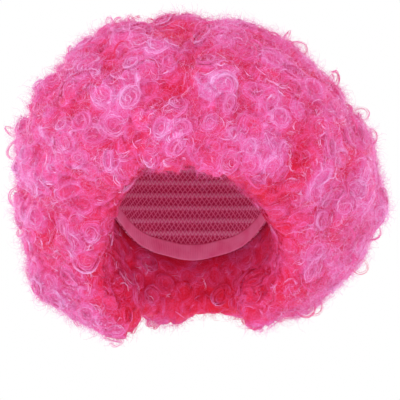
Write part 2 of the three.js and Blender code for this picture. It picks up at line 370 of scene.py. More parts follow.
def spread_places(triangles, owner, tree, count):
    """Random places on triangles, even by area, without the hidden ones."""
    first, second, third = triangles.transpose(1, 0, 2)
    cross = np.cross(second - first, third - first)
    area = np.linalg.norm(cross, axis=1)
    pick = RNG.choice(len(area), count, p=area / area.sum())
    across, along = RNG.random((2, count, 1))
    over = across + along > 1
    across = np.where(over, 1 - across, across)
    along = np.where(over, 1 - along, along)
    points = first[pick] + across * (second - first)[pick] + along * (third - first)[pick]
    places = Places(points, unit(cross[pick]), owner[pick])
    turned = unit(places.normals + RADIAL_SHARE * unit(points - BALL_MIDDLE))
    turned = np.where(outside(places)[:, None], turned, places.normals)
    return taken(places._replace(normals=turned), is_open(points, places.normals, tree))


def thinned(places, spacing):
    """The places that keep a distance from each other, taken in turn."""
    kept = np.empty_like(places.points)
    indexes = []
    for index, point in enumerate(places.points):
        near = np.sum((kept[: len(indexes)] - point) ** 2, axis=1) < spacing**2
        if not near.any():
            kept[len(indexes)] = point
            indexes.append(index)
    return taken(places, indexes)


def outer_reach(points, samples):
    """Reach of the hair's rounded outline towards each point, from samples of its outside."""
    way = unit(points - BALL_MIDDLE)
    sample_way = unit(samples - BALL_MIDDLE)
    sample_reach = np.linalg.norm(samples - BALL_MIDDLE, axis=1)
    closeness = np.exp((way @ sample_way.T - 1) / CLUSTER_ANGLE**2)
    return closeness @ sample_reach / np.maximum(closeness.sum(axis=1), TINY)


def painted_cluster_light(points, samples):
    """Painted light and shade: how much paler than the mean each point is painted, more on the clusters and
    less in the valleys, where shade falls, and paler on the sides.
    """
    rise = np.linalg.norm(points - BALL_MIDDLE, axis=1) - outer_reach(points, samples)
    side_light = np.interp(points[:, 2], SIDE_LIGHT_HEIGHTS, SIDE_PAINTED_LIGHT)
    return CLUSTER_PAINTED_LIGHT * np.clip(rise / CLUSTER_RISE, -1, 1) + side_light


def surface_of(mesh, room):
    """A mesh's surface to lay hair on, with the room for hair at each vertex."""
    corners = triangle_corners(mesh)
    tree = BVHTree.FromPolygons(vertex_values(mesh, "co").tolist(), corners.tolist())
    return Surface(tree, corners, vertex_values(mesh, "normal"), room)


def laid(surface, points):
    """The nearest places on a surface to points, with smooth normals and the room for hair there."""
    hits = [surface.tree.find_nearest(point) for point in points.reshape(-1, 3).tolist()]
    places = np.array([hit[0][:] for hit in hits]).reshape(points.shape)
    corners = surface.corners[[hit[2] for hit in hits]]
    normals = unit(surface.normals[corners].mean(axis=1)).reshape(points.shape)
    return places, normals, surface.room[corners].mean(axis=1).reshape(points.shape[:-1])


# Meshes from arrays
def add_object(name, data):
    item = bpy.data.objects.new(name, data)
    bpy.context.scene.collection.objects.link(item)
    return item


def add_mesh(name, vertices, corners, counts):
    """A mesh piece from its vertices, its faces' corners and each face's number of corners."""
    mesh = bpy.data.meshes.new(name)
    mesh.vertices.add(len(vertices))
    mesh.vertices.foreach_set("co", vertices.astype(np.float32).ravel())
    mesh.loops.add(len(corners))
    mesh.loops.foreach_set("vertex_index", corners.astype(np.int32))
    mesh.polygons.add(len(counts))
    starts = np.concatenate(([0], np.cumsum(counts)[:-1])).astype(np.int32)
    mesh.polygons.foreach_set("loop_start", starts)
    mesh.update(calc_edges=True)
    mesh.validate()
    mesh.shade_smooth()
    piece = add_object(name, mesh)
    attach(piece, "root")
    return piece


def set_attribute(mesh, name, values):
    attribute = mesh.attributes.new(name, "FLOAT", "POINT")
    attribute.data.foreach_set("value", values.astype(np.float32).ravel())


def set_bake_map(piece, u, v):
    layer = piece.data.uv_layers.new(name="OFBake")
    layer.data.foreach_set("uv", np.stack((u, v), axis=-1).astype(np.float32).ravel())


def map_strands(piece, u, v, cell):
    """The map for baking. Each strand has a cell of its own, with u along it and v across it."""
    count = int(cell.max()) + 1
    rows_a_column = 8
    columns = max(1, round(math.sqrt(count / rows_a_column)))
    rows = math.ceil(count / columns)
    margin = 0.15
    room = 1 - 2 * margin
    set_bake_map(
        piece,
        (cell % columns + margin + room * u) / columns,
        (cell // columns + margin + room * v) / rows,
    )


def joined(columns):
    """Columns of values by curl, strand and point, with the strands of all curls in one row."""
    return [column.reshape(-1, *column.shape[2:]) for column in columns]


def lies_well(lines, longest):
    """Which lines have no long step, as across a gap, and no step unlike their others."""
    steps = np.linalg.norm(np.diff(lines, axis=1), axis=-1)
    return (steps.max(axis=1) < longest) & (steps.max(axis=1) < STEP_RATIO * steps.mean(axis=1))


def strip_points(lines, widths, normals, roll):
    """Both edges of flat strips along lines, each strip turned by its roll from lying square to normals."""
    along = unit(np.gradient(lines, axis=1))
    side = unit(np.cross(along, normals))
    edge = side * np.cos(roll)[..., None] + np.cross(side, along) * np.sin(roll)[..., None]
    half = edge * widths[..., None] / 2
    return np.stack((lines - half, lines + half), axis=2).reshape(-1, 3)


def add_strands(name, lines, widths, tones, normals, material):
    """Strands as flat strips in one mesh, with their tones and painted light and shade across each: one edge
    paler than the other.
    """
    strands, points = lines.shape[:2]
    twist = RNG.normal(0, STRAND_TWIST, strands)[:, None]
    roll = RNG.normal(0, STRAND_ROLL, strands)[:, None] + twist * np.linspace(-0.5, 0.5, points)
    strand, step = np.meshgrid(np.arange(strands), np.arange(points - 1), indexing="ij")
    base = (strand * points + step) * 2
    corners = np.stack((base, base + 1, base + 3, base + 2), axis=-1)
    vertices = strip_points(lines, widths, normals, roll)
    piece = add_mesh(name, vertices, corners.ravel(), np.full(base.size, 4))
    u = np.stack((step, step, step + 1, step + 1), axis=-1) / (points - 1)
    v = np.broadcast_to((0.0, 1.0, 1.0, 0.0), u.shape)
    map_strands(piece, u, v, np.broadcast_to(strand[..., None], u.shape))
    # Painted light and shade: one edge paler and the other darker, as across a round lock
    edges = np.stack((tones - EDGE_SHADING, tones + EDGE_SHADING), axis=-1)
    set_attribute(piece.data, "tone", np.clip(edges, 0, 1))
    piece.data.materials.append(material)
    return piece


def add_skin(name, rings, looped):
    """A closed skin over rings of points, whose first and last rings join or have faces of their own."""
    count, sides = rings.shape[:2]
    spans = count if looped else count - 1
    ring, side = np.meshgrid(np.arange(spans), np.arange(sides), indexing="ij")
    down = np.stack((ring, ring + 1, ring + 1, ring), axis=-1)
    round_ = np.stack((side, side, side + 1, side + 1), axis=-1)
    corners = (down % count * sides + round_ % sides).ravel()
    counts = np.full(spans * sides, 4)
    u = (round_ / sides).ravel()
    v = (down / spans).ravel()
    if not looped:
        end = np.arange(sides)
        corners = np.concatenate((corners, end, (count - 1) * sides + end[::-1]))
        counts = np.concatenate((counts, [sides, sides]))
        u = np.concatenate((u, end / sides, end[::-1] / sides))
        v = np.concatenate((v, np.zeros(sides), np.ones(sides)))
    piece = add_mesh(name, rings.reshape(-1, 3), corners, counts)
    set_bake_map(piece, u, v)
    return piece


# Shapes of the hair
def make_ringlets(places, tones):
    """For each place a flat ring on the surface, foreshortened as one that leans."""
    points, normals, section = places
    count = len(points)
    lean = np.radians(RNG.triangular(*RINGLET_LEAN, count))
    first = heading(places)
    second = np.cross(normals, first)
    radius = RNG.uniform(*RINGLET_RADIUS, count)
    close = RNG.uniform(*RINGLET_CLOSE, count)
    turns = RNG.uniform(*RINGLET_TURNS, count) * RNG.choice((-1, 1), count)
    phase = RNG.uniform(0, math.tau, count)
    x, _, z = points.T
    fuzz = FUZZ_RIGHT * np.clip(x / WIG_REACH, 0, 1) + FUZZ_TOP * np.clip(z / WIG_TOP, 0, 1)
    tones = tones + RNG.normal(0, RINGLET_TONE_SPREAD, count)
    # Painted highlight: a pale crescent at one side of each ringlet, stronger on the left
    side = RNG.uniform(-math.pi, math.pi, count)
    glint = GLINT_TONE * RNG.random(count) ** GLINT_POWER
    glint = glint * np.clip(GLINT_MIDDLE - x / WIG_REACH, *GLINT_SIDES)
    return Ringlets(
        points, first, second, lean, radius, close, turns, phase, fuzz, tones, section, side, glint
    )


def glint_tones(angle, side, glint):
    """Painted highlight: how much paler each angle round a ringlet is painted, in a crescent at one side of
    it.
    """
    return glint * np.exp((np.cos(angle - side) - 1) / GLINT_WIDTH**2)


def strand_shares(kind, curls):
    """Shares of the way along a curl at its strands' points, shaped (curl, strand, point)."""
    shape = (curls, kind.count, 1)
    start = RNG.uniform(-kind.shift, kind.shift, shape)
    return start + RNG.uniform(*kind.lengths, shape) * np.linspace(0, 1, kind.points)


def strand_widths(kind, count):
    """Widths at the points of strands, which narrow towards both ends."""
    share = np.linspace(0, 1, kind.points)
    first_end = np.minimum(1, TIP_WIDTH + kind.taper * share)
    last_end = np.minimum(1, TIP_WIDTH + kind.taper * (1 - share))
    return STRAND_WIDTH * RNG.uniform(*kind.widths, count)[:, None] * (last_end * first_end)


def bundle(thickness, fill, share):
    """Each strand's turn round the middle of its bundle, point by point, and its distance from it."""
    shape = share.shape[:2] + (1,)
    turn = RNG.uniform(0, math.tau, shape) + RNG.normal(0, BUNDLE_TWIST, shape) * share
    return turn, thickness * np.sqrt(RNG.uniform(*fill, shape))


def ring_points(ringlets, reach, angle):
    """Points at a reach and an angle round each ringlet, shaped (ringlet, strand, point)."""
    across = reach * np.cos(angle)
    along = reach * np.sin(angle) * np.cos(ringlets.lean)
    return in_plane(ringlets.point, ringlets.first, ringlets.second, across, along)


def ring_lines(ringlets, surface):
    """Lines of the strands of each ringlet, the surface's normals there, and the painted highlights."""
    shape = (len(ringlets.point), RINGLET_STRANDS.count, 1)
    loose = RNG.random(shape) < LOOSE_SHARE * (1 + ringlets.fuzz)
    untidy = (UNTIDY + ringlets.fuzz) * np.where(loose, LOOSE_UNTIDY, 1.0)
    share = strand_shares(RINGLET_STRANDS, len(ringlets.point))
    angle = ringlets.phase + math.tau * ringlets.turns * share
    sway = np.sin(share * RNG.uniform(*SWAY_WAVES, shape) + RNG.uniform(0, math.tau, shape))
    reach = ringlets.radius * (RNG.uniform(*RINGLET_BAND, shape) - ringlets.close * share)
    reach = reach + sway * untidy * RNG.normal(0, STRAND_SWAY, shape)
    drift = untidy[..., None] * RNG.normal(0, STRAND_DRIFT, shape + (3,)) * (1 + share[..., None])
    places, normals, room = laid(surface, ring_points(ringlets, reach, angle) + drift)
    lift = RNG.uniform(0, RINGLET_LIFT, shape[:1])[COLUMN] + RNG.uniform(*STRAND_LIFT, shape)
    arch = np.sin(math.pi * np.clip(share, 0, 1))
    lift = lift + np.where(loose, RNG.uniform(0, LOOSE_LIFT, shape), 0) * arch
    glint = glint_tones(angle, ringlets.side, ringlets.glint)
    return places + normals * (lift * room)[..., None], normals, glint


def coil_lines(ringlets, surface):
    """Lines of the strands of each coil, the way that each strand faces, and its painted highlights and
    painted shade.
    """
    share = strand_shares(COIL_STRANDS, len(ringlets.point))
    angle = ringlets.phase + math.tau * ringlets.turns * share
    thickness = RNG.uniform(*COIL_THICKNESS, len(share))[COLUMN]
    turn, apart = bundle(thickness, COIL_FILL, share)
    middle = ringlets.radius * (COIL_PLACE - ringlets.close * share)
    places, normals, room = laid(surface, ring_points(ringlets, middle + apart * np.cos(turn), angle))
    outward = unit(ring_points(ringlets, middle + thickness, angle) - ring_points(ringlets, middle, angle))
    lift = room * np.maximum(COIL_FLOOR, COIL_RISE * thickness + apart * np.sin(turn))
    facing = outward * np.cos(turn)[..., None] + normals * np.sin(turn)[..., None]
    glint = glint_tones(angle, ringlets.side, ringlets.glint)
    # Painted shade on the underside and the inner side, and painted highlights stronger on the upper side
    shade = COIL_SHADE * (1 - COIL_TOP_LIGHT * np.sin(turn) - COIL_OUTER_LIGHT * np.cos(turn)) / 2
    return places + normals * lift[..., None], facing, glint * (1 + np.sin(turn)) - shade


def standing_loops(places, tones):
    """Loops that stand up from places, with both ends in the mass."""
    count = len(places.points)
    radius = RNG.uniform(*LOOP_RADIUS, count)
    across = heading(places)
    up = unit(places.normals + RNG.normal(0, LOOP_TILT, (count, 3)))
    across = unit(across - up * np.sum(across * up, axis=1, keepdims=True))
    centre = places.points + up * (LOOP_RISE * radius)[:, None]
    first_angle = RNG.uniform(*LOOP_STARTS, count)
    last_angle = RNG.uniform(*LOOP_ENDS, count)
    return Loops(centre, across, up, radius, first_angle, last_angle, places.section, tones)


def loop_lines(loops, _surface):
    """Lines of the strands of each loop, the way that each strand faces, and no glints."""
    share = strand_shares(LOOP_STRANDS, len(loops.centre))
    angle = loops.first_angle + (loops.last_angle - loops.first_angle) * share
    turn, apart = bundle(LOOP_THICKNESS, LOOP_FILL, share)
    reach = loops.radius + apart * np.cos(turn)
    radial = in_plane(0, loops.across, loops.up, np.cos(angle), np.sin(angle))
    aside = np.cross(loops.across, loops.up) * np.sin(turn)[..., None]
    lines = loops.centre + radial * reach[..., None] + aside * apart[..., None]
    return lines, radial * np.cos(turn)[..., None] + aside, np.zeros(angle.shape)


def heading(places):
    """A random direction along the surface at each place."""
    level = np.abs(places.normals[:, 2:]) < LEVEL_RISE
    first = unit(np.cross(places.normals, np.where(level, (0.0, 0.0, 1.0), (1.0, 0.0, 0.0))))
    turn = RNG.uniform(0, math.tau, len(first))[:, None]
    return first * np.cos(turn) + np.cross(places.normals, first) * np.sin(turn)


def flyaway_lines(places):
    """Lines of short bent hairs that stand out of the surface."""
    count = len(places.points)
    lean = np.radians(RNG.uniform(*FLYAWAY_LEAN, count))[:, None]
    out = places.normals * np.cos(lean) + heading(places) * np.sin(lean)
    swing = unit(np.cross(out, RNG.normal(0, 1, (count, 3))))
    bend = RNG.uniform(*FLYAWAY_BEND, count)[:, None]
    shortest, longest = FLYAWAY_LENGTH
    length = RNG.triangular(shortest, shortest, longest, count)[:, None]
    angle = length * np.linspace(0, 1, FLYAWAY_POINTS) / bend
    forward = bend * np.sin(angle)
    aside = bend * (1 - np.cos(angle))
    return in_plane(places.points[:, None], out[:, None], swing[:, None], forward, aside)


def curl_lines(places, surface):
    """Lines of the strands of each curl, side by side, the normals there and the lift off the surface."""
    shape = (len(places.points), CURL_STRANDS.count, 1)
    out = heading(places)
    swing = np.cross(places.normals, out)
    bend = RNG.uniform(*CURL_BEND, shape[:1])[COLUMN]
    spread = RNG.choice(CURL_SPREADS, shape[:1])[COLUMN]
    reach = bend + spread * RNG.uniform(-1, 1, shape)
    share = strand_shares(CURL_STRANDS, len(places.points))
    angle = RNG.uniform(*CURL_ANGLE, shape[:1])[COLUMN] * share
    forward = reach * np.sin(angle)
    aside = bend - reach * np.cos(angle)
    lines = in_plane(places.points[COLUMN], out[COLUMN], swing[COLUMN], forward, aside)
    on, normals, room = laid(surface, lines)
    lift = (RNG.uniform(*CURL_LIFT, shape[:1])[COLUMN] + RNG.uniform(0, CURL_STRAND_LIFT, shape)) * room
    return on + normals * lift[..., None], normals, lift


# Shapes of the cap
def head_points(angle, height, grow):
    """Points round the head, grown by a distance, at angles from the forehead towards +X."""
    widest = HEAD_HEIGHTS[0]
    rise = np.clip((height - widest) / (grow - widest), 0, 1)
    share = (1 - rise**DOME_POWER) ** (1 / DOME_POWER)
    half_width, front, back = (
        share * (np.interp(-height, -HEAD_HEIGHTS, column) + grow)
        for column in (HEAD_HALF_WIDTHS, HEAD_FRONTS, HEAD_BACKS)
    )
    x = half_width * np.sin(angle)
    y = (back - front) / 2 - (back + front) / 2 * np.cos(angle)
    return np.stack(np.broadcast_arrays(x, y, height), axis=-1)


def rim_height(angle):
    """Height of the cap's lower edge at angles round the head, with its corners eased."""
    samples = 9
    turned = np.degrees(angle)[..., None] + np.linspace(-RIM_EASE, RIM_EASE, samples)
    folded = np.abs((turned + 180) % 360 - 180)
    return np.interp(folded, RIM_ANGLES, RIM_HEIGHTS).mean(axis=-1)


def weft_rise(height, above_edge):
    """How far the rows of sewn hair stand out of the net at a height, and not where the band is."""
    along = (height - WEFT_TOP) / WEFT_PITCH
    from_row = np.abs(along - np.round(along)) / (WEFT_SHARE / 2)
    free = np.clip((above_edge - BAND_WIDTH) / WEFT_EASE, 0, 1)
    return WEFT_RISE * free * np.clip(WEFT_FLATNESS * (1 - from_row**2), 0, 1)


def cap_rings():
    """Rings of the cap from its top down the outside to the edge, and up the inside."""
    angle = np.arange(CAP_SIDES) * math.tau / CAP_SIDES
    rim = rim_height(angle)
    down = 1 - np.cos(np.arange(1, CAP_OUTER_RINGS + 1)[:, None] / CAP_OUTER_RINGS * math.pi / 2)
    outer = head_points(angle, CAP_WALL + (rim - CAP_WALL) * down, CAP_WALL)
    up = 1 - np.cos(np.arange(CAP_INNER_RINGS, 0, -1)[:, None] / CAP_INNER_RINGS * math.pi / 2)
    height = rim * up
    inner = head_points(angle, height, 0.0)
    inward = unit(HEAD_MIDDLE - inner)
    return np.concatenate((outer, inner + inward * weft_rise(height, height - rim)[..., None]))


def band_rings():
    """Rings of the band's section round the cap's edge, with ribs on its inner face."""
    angle = np.arange(BAND_RIBS * RIB_STEPS)[:, None] * math.tau / (BAND_RIBS * RIB_STEPS)
    turn = np.arange(BAND_SECTION_POINTS) * math.tau / BAND_SECTION_POINTS
    across = np.sign(np.cos(turn)) * np.abs(np.cos(turn)) ** BAND_CORNERS[0]
    through = np.sign(np.sin(turn)) * np.abs(np.sin(turn)) ** BAND_CORNERS[1]
    ribs = RIB_RISE * np.cos(angle * BAND_RIBS) * np.clip(through, 0, 1)
    grow = -BAND_GAP - BAND_THICKNESS * (1 + through) / 2 - ribs
    return head_points(angle, rim_height(angle) + BAND_WIDTH * (1 + across) / 2, grow)


# Materials
class Maker:
    """A new material, with short ways to add nodes to it. An input is a socket or a value."""

    def __init__(self, name, specular):
        self.material = bpy.data.materials.new(name)
        self.material.use_nodes = True
        self.nodes = self.material.node_tree.nodes
        self.shader = self.nodes["Principled BSDF"]
        self.set_shader("Specular IOR Level", specular)

    def fill(self, node, name, value):
        if isinstance(value, bpy.types.NodeSocket):
            self.material.node_tree.links.new(value, node.inputs[name])
        else:
            node.inputs[name].default_value = value

    def set_shader(self, name, value):
        self.fill(self.shader, name, value)

    def add(self, kind, inputs, **settings):
        node = self.nodes.new("ShaderNode" + kind)
        for name, value in settings.items():
            setattr(node, name, value)
        for name, value in inputs.items():
            self.fill(node, name, value)
        return node

    def sums(self, operation, *values):
        return self.add("Math", dict(enumerate(values)), operation=operation).outputs["Value"]

    def step(self, value, low, high):
        """A smooth step from 0 at low to 1 at high."""
        inputs = {"Value": value, "From Min": low, "From Max": high}
        return self.add("MapRange", inputs, interpolation_type="SMOOTHSTEP").outputs["Result"]

    def noise(self, place, scale, detail):
        return self.add("TexNoise", {"Vector": place, "Scale": scale, "Detail": detail}).outputs["Fac"]

    def line_noise(self, place, scale, detail, roughness):
        inputs = {"W": place, "Scale": scale, "Detail": detail, "Roughness": roughness}
        return self.add("TexNoise", inputs, noise_dimensions="1D").outputs["Fac"]

    def place(self):
        return self.add("TexCoord", {}).outputs["Object"]

    def split(self, vector):
        return self.add("SeparateXYZ", {"Vector": vector}).outputs

    def attribute(self, name):
        return self.add("Attribute", {}, attribute_name=name).outputs["Fac"]

    def ramp(self, value, stops):
        node = self.add("ValToRGB", {"Fac": value})
        elements = node.color_ramp.elements
        while len(elements) < len(stops):
            elements.new(0.5)
        for element, (place, colour) in zip(elements, stops):
            element.position = place
            element.color = (*colour, 1.0)
        return node.outputs["Color"]

    def mix(self, share, first, second):
        inputs = {"Factor": share, "A": first, "B": second}
        return self.add("Mix", inputs, data_type="RGBA").outputs["Result"]

    def set_roughness(self, value, limits):
        """Roughness that runs from one limit to the other as a value runs from 0 to 1."""
        inputs = {"Value": value, "To Min": limits[0], "To Max": limits[1]}
        self.set_shader("Roughness", self.add("MapRange", inputs).outputs["Result"])

    def set_bump(self, height, strength, distance):
        inputs = {"Height": height, "Strength": strength, "Distance": distance}
        self.set_shader("Normal", self.add("Bump", inputs).outputs["Normal"])

    def set_hair_colour(self, tone):
        """Colours hair by its tone: darker hair is redder and duller."""
        self.set_shader("Base Color", self.ramp(tone, HAIR_STOPS))
        self.set_roughness(tone, HAIR_ROUGHNESS)


def strand_material():
    """Strands in their own tones, with a slight waviness along them."""
    maker = Maker("pink_strands", HAIR_SPECULAR)
    sums = maker.sums
    wave = maker.noise(maker.place(), scale=900, detail=1)
    uneven = sums("MULTIPLY", sums("SUBTRACT", wave, 0.5), 0.3)
    maker.set_hair_colour(sums("ADD", maker.attribute("tone"), uneven))
    maker.set_bump(wave, strength=0.3, distance=0.0003)
    return maker.material


def core_material():
    """Matted hair: fine hairs that run round each curl, blurred by frizz, in colour and in relief."""
    maker = Maker("pink_hair_mass", HAIR_SPECULAR)
    sums = maker.sums
    place = maker.place()
    wander = sums("MULTIPLY", maker.noise(place, scale=110, detail=2), RING_WANDER)
    ring = sums("ADD", maker.attribute("ring"), wander)
    lines = maker.line_noise(sums("DIVIDE", ring, RING_LINE), scale=1.0, detail=4, roughness=0.8)
    frizz = maker.noise(place, scale=700, detail=3)
    tone = sums("ADD", maker.attribute("tone"), sums("MULTIPLY", sums("SUBTRACT", lines, 0.5), 1.3))
    tone = sums("ADD", tone, sums("MULTIPLY", sums("SUBTRACT", frizz, 0.5), 0.6))
    maker.set_hair_colour(tone)
    maker.set_bump(sums("ADD", lines, frizz), strength=0.7, distance=0.0008)
    return maker.material


def cap_material():
    """Stretch net with rows of sewn hair across it, each held by a zigzag of thread."""
    maker = Maker("pink_cap_net", CLOTH_SPECULAR)
    sums = maker.sums
    flat = maker.split(maker.add("UVMap", {}, uv_map="OFBake").outputs["UV"])
    height = maker.split(maker.place())["Z"]

    around = sums("MULTIPLY", flat["X"], NET_AROUND)
    down = sums("MULTIPLY", flat["Y"], NET_DOWN)
    one_way = sums("PINGPONG", sums("ADD", around, down), 0.5)
    other_way = sums("PINGPONG", sums("SUBTRACT", around, down), 0.5)
    thread = maker.step(sums("MINIMUM", one_way, other_way), low=0.16, high=0.06)

    rows = sums("DIVIDE", sums("SUBTRACT", height, WEFT_TOP), WEFT_PITCH)
    edge = WEFT_SHARE / 2
    weft = maker.step(sums("PINGPONG", rows, 0.5), low=edge, high=edge - 0.05)
    along = sums("MULTIPLY", flat["X"], 6 * STITCHES_AROUND)
    hairs = maker.line_noise(along, scale=5.0, detail=2, roughness=0.5)

    zigzag = sums("PINGPONG", sums("MULTIPLY", flat["X"], 2 * STITCHES_AROUND), 1.0)
    signed = sums("SUBTRACT", sums("FRACT", sums("ADD", rows, 0.5)), 0.5)
    swing = sums("MULTIPLY", sums("SUBTRACT", zigzag, 0.5), 0.7 * WEFT_SHARE)
    from_stitch = sums("ABSOLUTE", sums("SUBTRACT", signed, swing))
    stitch = maker.step(from_stitch, low=0.06, high=0.03)

    cloth = maker.mix(weft, maker.ramp(thread, NET_STOPS), maker.ramp(hairs, WEFT_STOPS))
    maker.set_shader("Base Color", maker.mix(stitch, cloth, STITCH_COLOUR))
    relief = sums("MAXIMUM", sums("MULTIPLY", thread, sums("SUBTRACT", 1.0, weft)), stitch)
    maker.set_roughness(relief, CAP_ROUGHNESS)
    maker.set_bump(sums("ADD", relief, hairs), strength=0.6, distance=0.0006)
    return maker.material


def band_material():
    """Ribbed elastic with a fine knit across the ribs and slightly uneven dye."""
    maker = Maker("pink_elastic", CLOTH_SPECULAR)
    sums = maker.sums
    place = maker.place()
    knit = sums("PINGPONG", sums("DIVIDE", maker.split(place)["Z"], KNIT_PITCH), 0.5)
    dye = maker.noise(place, scale=90, detail=2)
    tone = sums("ADD", sums("MULTIPLY", knit, 0.8), dye)
    maker.set_shader("Base Color", maker.ramp(tone, BAND_STOPS))
    maker.set_roughness(knit, BAND_ROUGHNESS)
    maker.set_bump(knit, strength=0.5, distance=0.0003)
    return maker.material


def floor_material():
    """A pale floor with faint, large spots."""
    maker = Maker("pale_floor", CLOTH_SPECULAR)
    spots = maker.add("TexNoise", {"Scale": 6}).outputs["Fac"]
    maker.set_shader("Base Color", maker.ramp(spots, FLOOR_STOPS))
    maker.set_shader("Roughness", 0.9)
    return maker.material


# Pieces
def welded(triangles, grow):
    """Vertices and triangles with shared corners joined, and every vertex moved out a little."""
    places, index = np.unique(np.round(triangles.reshape(-1, 3), 6), axis=0, return_inverse=True)
    corners = index.reshape(-1, 3)
    faces = places[corners]
    cross = np.cross(faces[:, 1] - faces[:, 0], faces[:, 2] - faces[:, 0])
    normals = np.zeros_like(places)
    for corner in range(3):
        np.add.at(normals, corners[:, corner], cross)
    return places + unit(normals) * grow, corners


def move_vertices(mesh, places):
    mesh.vertices.foreach_set("co", places.ravel())
    mesh.update()


def smoothed(mesh, places, share, rounds):
    """Places with each drawn towards the mean of its neighbours, over and over."""
    edges = values_of(mesh.edges, "vertices", 2, np.int32)
    one, other = edges.T
    links = np.bincount(edges.ravel(), minlength=len(places))
    for _ in range(rounds):
        mean = [
            np.bincount(one, places[other, k], len(places)) + np.bincount(other, places[one, k], len(places))
            for k in range(3)
        ]
        places = places + share * SMOOTHING_STEP * (np.stack(mean, axis=1) / links[:, None] - places)
    return places


def clear_of_cap(places, cap_tree, away):
    """Places with those in the cap's wall or inside it moved out of it."""
    for index in np.flatnonzero(away < 3 * CORE_CLEARANCE):
        near = np.array(cap_tree.find_nearest(Vector(places[index]))[0])
        outward = unit(near - HEAD_MIDDLE)
        places[index] += outward * max(0, CORE_CLEARANCE - outward @ (places[index] - near))
    return places


def ring_places(points, ringlets):
    """The ringlet nearest to each point, the point's place across and along it, and the mean tone."""
    nearest = np.empty(len(points), dtype=np.int32)
    tone = np.empty(len(points))
    batch = 4000  # points at a time, to save memory
    for part in np.array_split(np.arange(len(points)), 1 + len(points) // batch):
        away = np.sum((points[part, None] - ringlets.point) ** 2, axis=-1)
        nearest[part] = away.argmin(axis=1)
        weight = np.exp(-away / (2 * TONE_BLUR**2))
        tone[part] = weight @ ringlets.tone / np.maximum(weight.sum(axis=1), TINY)
    mine = taken(ringlets, nearest)
    arm = points - mine.point
    across = np.sum(arm * mine.first, axis=1)
    along = np.sum(arm * mine.second, axis=1) / np.cos(mine.lean)
    return mine, across, along, tone


def evened(mesh, places, samples):
    """Places with the clusters and valleys of the outside drawn towards its rounded outline."""
    arm = places - BALL_MIDDLE
    reach = np.linalg.norm(arm, axis=1)
    facing = np.sum(vertex_values(mesh, "normal") * arm, axis=1) / reach
    batches = np.array_split(places, 20)
    rise = reach - np.concatenate([outer_reach(batch, samples) for batch in batches])
    kept = np.where(rise > 0, CLUSTERS_KEPT, VALLEYS_KEPT)
    share = (1 - kept) * np.clip((facing - OUTSIDE_FACING) / FACING_EASE, 0, 1)
    return places - arm * (share * rise / reach)[:, None]


def even_skin(piece, cap_tree, rounds):
    """Rounds a piece's skin, and gives its places, their distance from the cap and the room for hair."""
    modifier = piece.modifiers.new("remesh", "REMESH")
    modifier.mode = "VOXEL"
    modifier.voxel_size = CORE_VOXEL
    graph = bpy.context.evaluated_depsgraph_get()
    mesh = bpy.data.meshes.new_from_object(piece.evaluated_get(graph))
    piece.modifiers.clear()
    piece.data = mesh
    places = vertex_values(mesh, "co")
    away = np.array([cap_tree.find_nearest(place)[3] for place in places.tolist()])
    room = np.clip((away - BARE_GAP) / ROOM_EASE, 0, 1)
    places = smoothed(mesh, places, room[:, None], rounds)
    move_vertices(mesh, places)
    return places, away, room


def press_curls(mesh, places, room, ringlets):
    """Places pressed into curls. The mesh keeps the curls' rings and tones for its material, tones with
    painted light and shade: paler ridges, darker dips and painted highlight crescents.
    """
    mine, across, along, cluster_shading = ring_places(places, ringlets)
    ring = np.hypot(across, along)
    share = ring / mine.radius
    ridge = np.exp(-(((share - RIDGE_PLACE) / RIDGE_WIDTH) ** 2))
    ridge = ridge + KNOT_RELIEF * np.exp(-((share / KNOT_WIDTH) ** 2))
    slope = np.sin(mine.lean) * along / mine.radius * np.exp(-(share**2))
    tidy = np.clip(1 - FUZZ_FLATTENS * mine.fuzz, 0, 1)
    relief = room * tidy * (RING_RELIEF * (ridge - RELIEF_LEVEL) + RING_SLOPE * slope)
    # Painted highlight crescents and painted shade in the dips, over the blurred painted cluster light and
    # shade
    crescent = glint_tones(np.arctan2(along, across), mine.side, mine.glint)
    tone = CORE_TONE + cluster_shading + RIDGE_PAINTED_SHADE * (ridge - RIDGE_SHADE_LEVEL) + CRESCENT_HIGHLIGHT * ridge * crescent
    set_attribute(mesh, "ring", ring)
    set_attribute(mesh, "tone", tone)
    return places + vertex_values(mesh, "normal") * relief[:, None]


def add_core(triangles, cap_tree, ringlets, samples, material):
    """The matted mass that the hair lies on: the frame's hair joined, rounded, and pressed into curls."""
    places, corners = welded(triangles, CORE_CLOSING)
    piece = add_mesh("hair_core", places, corners.ravel(), np.full(len(corners), 3))
    places, away, room = even_skin(piece, cap_tree, CORE_SMOOTHING[0])
    places -= vertex_values(piece.data, "normal") * (CORE_CLOSING - CORE_GROWTH)
    move_vertices(piece.data, places)
    move_vertices(piece.data, evened(piece.data, places, samples))
    places, away, room = even_skin(piece, cap_tree, CORE_SMOOTHING[1])
    mesh = piece.data
    places = press_curls(mesh, places, room, ringlets)
    move_vertices(mesh, clear_of_cap(places, cap_tree, away))
    mesh.shade_smooth()
    mesh.materials.append(material)
    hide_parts(*HAIR_NODES)
    return surface_of(mesh, room)


def add_bundles(name, kind, lines_of, curls, surface, material):
    """Adds curls' strands as one piece for each section of the hair, and gives the pieces."""
    pieces = []
    for number, node in enumerate(HAIR_NODES):
        mine = taken(curls, curls.section == number)
        lines, facing, glint = joined(lines_of(taken(mine, COLUMN), surface))
        own = np.repeat(mine.tone, kind.count) + RNG.normal(0, kind.spread, len(lines))
        # The glints carry painted highlights, and for coils painted shade as well
        tones = kind.tone + own[:, None] + glint
        widths = strand_widths(kind, len(lines))
        well = lies_well(lines, STRAND_STEP)
        rows = (lines[well], widths[well], tones[well], facing[well])
        pieces.append(add_strands(node.replace("hair", name), *rows, material))
    return pieces


def add_sections(name, section, columns, material):
    """Adds strands as one piece for each section of the hair."""
    for number, node in enumerate(HAIR_NODES):
        rows = [column[section == number] for column in columns]
        add_strands(node.replace("hair", name), *rows, material)


